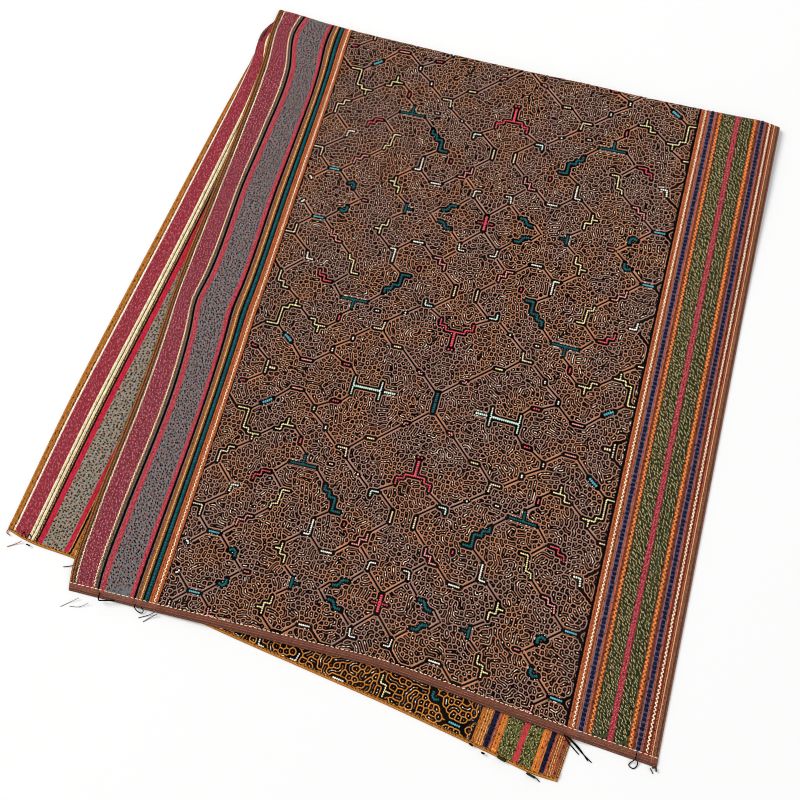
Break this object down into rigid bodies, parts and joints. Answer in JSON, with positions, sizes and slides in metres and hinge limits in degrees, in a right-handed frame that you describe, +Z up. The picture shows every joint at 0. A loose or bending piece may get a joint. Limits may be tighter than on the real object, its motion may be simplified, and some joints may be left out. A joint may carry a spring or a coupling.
{
  "type": "folded embroidered cloth",
  "caption": "Rectangular cloth of dense maze embroidery with striped side bands, folded in half a little askew and lying flat.",
  "frame": {"origin": "under the middle of the folded cloth's bounding box, on the surface it lies on", "axes": "+Z up, +Y from the hems to the fold, +X across the cloth from the left band to the right one"},
  "size_m": [0.7612, 0.8378, 0.0068],
  "materials": {
    "embroidered_cotton": "matt, dense hand embroidery in black and coloured thread on brown cotton"
  },
  "bodies": {
    "root": {"cloth": "embroidered_cotton"}
  },
  "joints": []
}
